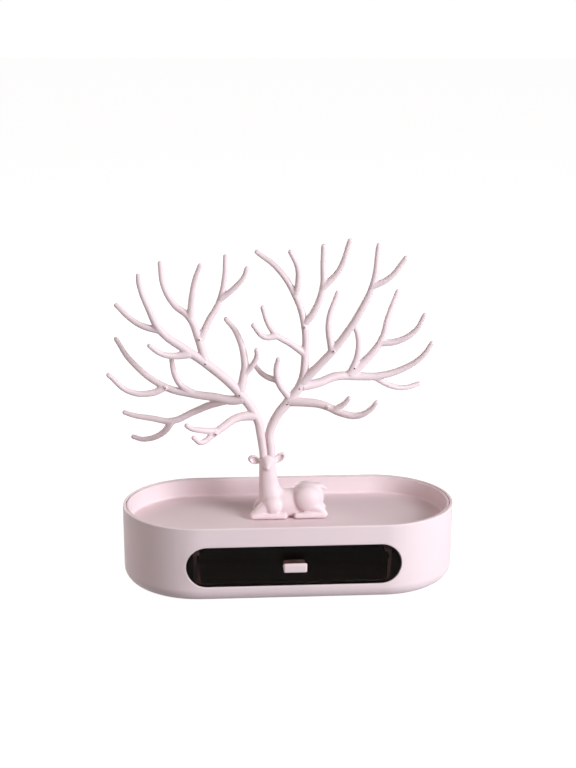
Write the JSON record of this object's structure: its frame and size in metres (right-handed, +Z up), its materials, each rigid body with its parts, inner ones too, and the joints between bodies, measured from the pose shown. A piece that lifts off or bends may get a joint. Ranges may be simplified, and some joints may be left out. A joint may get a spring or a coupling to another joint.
{
  "type": "jewelry stand with drawer",
  "caption": "Stadium-shaped base with a front drawer and a sunken top tray, in which a lying deer carries branching antlers that jewelry hangs on.",
  "frame": {"origin": "on the surface that the stand rests on, under the middle of the base", "axes": "+Z up, the drawer opens towards -Y, +X along the length of the base, to the right seen from the drawer's side"},
  "size_m": [0.2972, 0.1435, 0.2967],
  "materials": {
    "body_plastic": "satin, dusty pink",
    "panel_plastic": "polished, smoky black-brown, slightly see-through",
    "drawer_plastic": "polished, smoky brown, see-through",
    "inner_plastic": "plain moulded",
    "foot_rubber": "soft grey, translucent look",
    "screw_steel": "zinc plated"
  },
  "bodies": {
    "stand": {"housing_shell": "body_plastic", "tray_insert": "body_plastic", "tray_screws": "screw_steel", "base_plate": "body_plastic", "base_screws": "screw_steel", "rubber_feet": "foot_rubber", "drawer_guide_right": "inner_plastic", "drawer_guide_left": "inner_plastic", "guide_screws": "screw_steel", "deer_body": "body_plastic", "deer_screws": "screw_steel", "antler_left_main": "body_plastic", "antler_left_crown": "body_plastic", "antler_left_side": "body_plastic", "antler_left_back": "body_plastic", "antler_left_front": "body_plastic", "antler_left_inner": "body_plastic", "antler_right_main": "body_plastic", "antler_right_crown": "body_plastic", "antler_right_upper": "body_plastic", "antler_right_side": "body_plastic", "antler_right_front": "body_plastic", "antler_right_inner": "body_plastic"},
    "drawer": {"drawer_box": "drawer_plastic", "drawer_front": "panel_plastic", "drawer_pull": "body_plastic", "pull_clip": "inner_plastic"}
  },
  "joints": [
    {"name": "drawer_slide", "type": "slide", "parent": "stand", "child": "drawer", "axis": [0, -1, 0], "range_m": [0, 0.07]}
  ]
}
